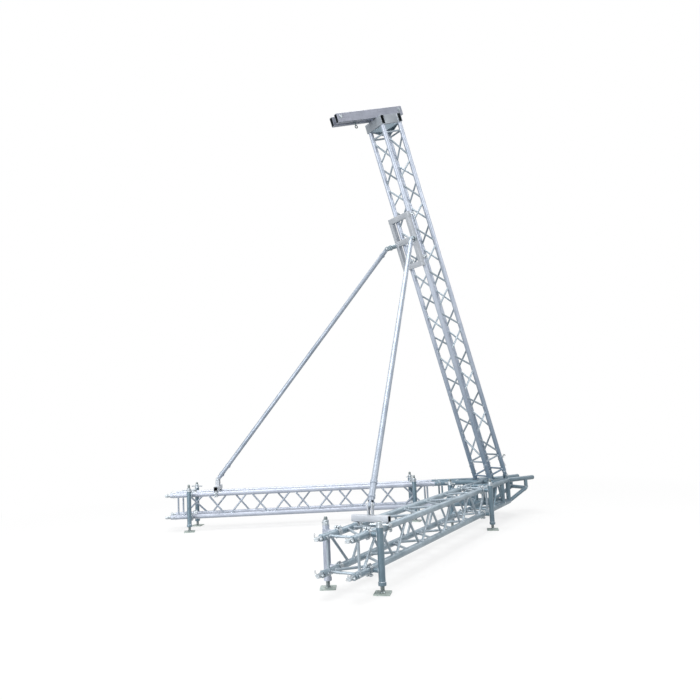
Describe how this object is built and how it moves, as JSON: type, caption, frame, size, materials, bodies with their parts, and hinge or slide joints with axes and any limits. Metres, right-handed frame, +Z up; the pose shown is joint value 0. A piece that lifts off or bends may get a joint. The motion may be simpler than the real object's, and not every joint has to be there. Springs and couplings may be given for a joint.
{
  "type": "line array truss tower",
  "caption": "Leaning box-truss mast hinged on a base with splayed truss legs on screw jacks, held by tube stays, with a slotted hoist beam on top, for flying loudspeaker arrays.",
  "frame": {"origin": "on the floor under the centre of the tower's bounding box", "axes": "+Z up, -Y to the front where the legs spread and the mast leans, +X to the right leg"},
  "size_m": [4.0712, 3.8211, 4.6597],
  "materials": {
    "tube": "mill-finish aluminium tube with drawn streaks and brushed welds",
    "beam": "extruded aluminium box section, matt with fine lines along it",
    "zinc": "zinc-plated steel, slightly mottled",
    "steel": "dark oiled steel"
  },
  "bodies": {
    "base": {"base_block": "tube", "right_leg_truss": "tube", "left_leg_truss": "tube", "right_leg_spigot_1": "zinc", "right_leg_spigot_2": "zinc", "right_leg_spigot_3": "zinc", "right_leg_spigot_4": "zinc", "left_leg_spigot_1": "zinc", "left_leg_spigot_2": "zinc", "left_leg_spigot_3": "zinc", "left_leg_spigot_4": "zinc", "right_front_outside_jack_tube": "tube", "right_front_inside_jack_tube": "tube", "right_rear_outside_jack_tube": "tube", "right_rear_inside_jack_tube": "tube", "left_front_outside_jack_tube": "tube", "left_front_inside_jack_tube": "tube", "left_rear_outside_jack_tube": "tube", "left_rear_inside_jack_tube": "tube", "right_stay_bracket": "beam", "right_stay_foot_pin": "zinc", "right_hinge_pin": "zinc", "left_stay_bracket": "beam", "left_stay_foot_pin": "zinc", "left_hinge_pin": "zinc"},
    "mast": {"mast_foot": "tube", "mast_truss": "tube", "mast_spigot_1": "zinc", "mast_spigot_2": "zinc", "mast_spigot_3": "zinc", "mast_spigot_4": "zinc", "head_frame": "beam", "right_header_beam": "beam", "left_header_beam": "beam", "front_header_bolt": "zinc", "rear_header_bolt": "zinc", "hoist_block": "beam", "collar_frame": "beam", "right_stay_top_pin": "zinc", "left_stay_top_pin": "zinc"},
    "hoist_eye": {"hoist_eye_bolt": "steel"},
    "right_stay": {"right_stay": "tube"},
    "left_stay": {"left_stay": "tube"},
    "right_front_outside_jack_head": {"right_front_outside_jack_head": "zinc"},
    "right_front_outside_jack_screw": {"right_front_outside_jack_screw": "zinc"},
    "right_front_inside_jack_head": {"right_front_inside_jack_head": "zinc"},
    "right_front_inside_jack_screw": {"right_front_inside_jack_screw": "zinc"},
    "right_rear_outside_jack_head": {"right_rear_outside_jack_head": "zinc"},
    "right_rear_outside_jack_screw": {"right_rear_outside_jack_screw": "zinc"},
    "right_rear_inside_jack_head": {"right_rear_inside_jack_head": "zinc"},
    "right_rear_inside_jack_screw": {"right_rear_inside_jack_screw": "zinc"},
    "left_front_outside_jack_head": {"left_front_outside_jack_head": "zinc"},
    "left_front_outside_jack_screw": {"left_front_outside_jack_screw": "zinc"},
    "left_front_inside_jack_head": {"left_front_inside_jack_head": "zinc"},
    "left_front_inside_jack_screw": {"left_front_inside_jack_screw": "zinc"},
    "left_rear_outside_jack_head": {"left_rear_outside_jack_head": "zinc"},
    "left_rear_outside_jack_screw": {"left_rear_outside_jack_screw": "zinc"},
    "left_rear_inside_jack_head": {"left_rear_inside_jack_head": "zinc"},
    "left_rear_inside_jack_screw": {"left_rear_inside_jack_screw": "zinc"}
  },
  "joints": [
    {"name": "mast_tilt", "type": "hinge", "parent": "base", "child": "mast", "pos_m": [0, 1.47818, 0.455], "axis": [-1, 0, 0], "range_deg": [0, 107.4]},
    {"name": "right_stay_fold", "type": "hinge", "parent": "mast", "child": "right_stay", "pos_m": [0.23495, 0.22536, 3.07421], "axis": [0.7479, 0.6638, 0], "range_deg": [0, 39.6]},
    {"name": "left_stay_fold", "type": "hinge", "parent": "mast", "child": "left_stay", "pos_m": [-0.23495, 0.22536, 3.07421], "axis": [0.7479, -0.6638, 0], "range_deg": [0, 39.6]},
    {"name": "hoist_eye_swivel", "type": "hinge", "parent": "mast", "child": "hoist_eye", "pos_m": [0, -0.26268, 4.33139], "axis": [0, -0.299, 0.9542], "continuous": true},
    {"name": "right_front_outside_jack_head_turn", "type": "hinge", "parent": "base", "child": "right_front_outside_jack_head", "pos_m": [1.95392, -1.48127, 0.459], "axis": [0, 0, 1], "range_deg": [-1800, 1560]},
    {"name": "right_front_outside_jack_height", "type": "slide", "parent": "base", "child": "right_front_outside_jack_screw", "axis": [0, 0, 1], "range_m": [-0.0261, 0.0301]},
    {"name": "right_front_inside_jack_head_turn", "type": "hinge", "parent": "base", "child": "right_front_inside_jack_head", "pos_m": [1.58153, -1.69627, 0.459], "axis": [0, 0, 1], "range_deg": [-1800, 1560]},
    {"name": "right_front_inside_jack_height", "type": "slide", "parent": "base", "child": "right_front_inside_jack_screw", "axis": [0, 0, 1], "range_m": [-0.0261, 0.0301]},
    {"name": "right_rear_outside_jack_head_turn", "type": "hinge", "parent": "base", "child": "right_rear_outside_jack_head", "pos_m": [0.68842, 0.71064, 0.459], "axis": [0, 0, 1], "range_deg": [-1800, 1560]},
    {"name": "right_rear_outside_jack_height", "type": "slide", "parent": "base", "child": "right_rear_outside_jack_screw", "axis": [0, 0, 1], "range_m": [-0.0261, 0.0301]},
    {"name": "right_rear_inside_jack_head_turn", "type": "hinge", "parent": "base", "child": "right_rear_inside_jack_head", "pos_m": [0.31603, 0.49565, 0.459], "axis": [0, 0, 1], "range_deg": [-1800, 1560]},
    {"name": "right_rear_inside_jack_height", "type": "slide", "parent": "base", "child": "right_rear_inside_jack_screw", "axis": [0, 0, 1], "range_m": [-0.0261, 0.0301]},
    {"name": "left_front_outside_jack_head_turn", "type": "hinge", "parent": "base", "child": "left_front_outside_jack_head", "pos_m": [-1.95392, -1.48127, 0.459], "axis": [0, 0, 1], "range_deg": [-1800, 1560]},
    {"name": "left_front_outside_jack_height", "type": "slide", "parent": "base", "child": "left_front_outside_jack_screw", "axis": [0, 0, 1], "range_m": [-0.0261, 0.0301]},
    {"name": "left_front_inside_jack_head_turn", "type": "hinge", "parent": "base", "child": "left_front_inside_jack_head", "pos_m": [-1.58153, -1.69627, 0.459], "axis": [0, 0, 1], "range_deg": [-1800, 1560]},
    {"name": "left_front_inside_jack_height", "type": "slide", "parent": "base", "child": "left_front_inside_jack_screw", "axis": [0, 0, 1], "range_m": [-0.0261, 0.0301]},
    {"name": "left_rear_outside_jack_head_turn", "type": "hinge", "parent": "base", "child": "left_rear_outside_jack_head", "pos_m": [-0.68842, 0.71064, 0.459], "axis": [0, 0, 1], "range_deg": [-1800, 1560]},
    {"name": "left_rear_outside_jack_height", "type": "slide", "parent": "base", "child": "left_rear_outside_jack_screw", "axis": [0, 0, 1], "range_m": [-0.0261, 0.0301]},
    {"name": "left_rear_inside_jack_head_turn", "type": "hinge", "parent": "base", "child": "left_rear_inside_jack_head", "pos_m": [-0.31603, 0.49565, 0.459], "axis": [0, 0, 1], "range_deg": [-1800, 1560]},
    {"name": "left_rear_inside_jack_height", "type": "slide", "parent": "base", "child": "left_rear_inside_jack_screw", "axis": [0, 0, 1], "range_m": [-0.0261, 0.0301]}
  ],
  "couplings": [
    {"joint": "right_stay_fold", "follows": "mast_tilt", "ratio": 0.36778},
    {"joint": "left_stay_fold", "follows": "mast_tilt", "ratio": 0.36778},
    {"joint": "right_front_outside_jack_height", "follows": "right_front_outside_jack_head_turn", "m_per_rad": -0.00095493},
    {"joint": "right_front_inside_jack_height", "follows": "right_front_inside_jack_head_turn", "m_per_rad": -0.00095493},
    {"joint": "right_rear_outside_jack_height", "follows": "right_rear_outside_jack_head_turn", "m_per_rad": -0.00095493},
    {"joint": "right_rear_inside_jack_height", "follows": "right_rear_inside_jack_head_turn", "m_per_rad": -0.00095493},
    {"joint": "left_front_outside_jack_height", "follows": "left_front_outside_jack_head_turn", "m_per_rad": -0.00095493},
    {"joint": "left_front_inside_jack_height", "follows": "left_front_inside_jack_head_turn", "m_per_rad": -0.00095493},
    {"joint": "left_rear_outside_jack_height", "follows": "left_rear_outside_jack_head_turn", "m_per_rad": -0.00095493},
    {"joint": "left_rear_inside_jack_height", "follows": "left_rear_inside_jack_head_turn", "m_per_rad": -0.00095493}
  ]
}
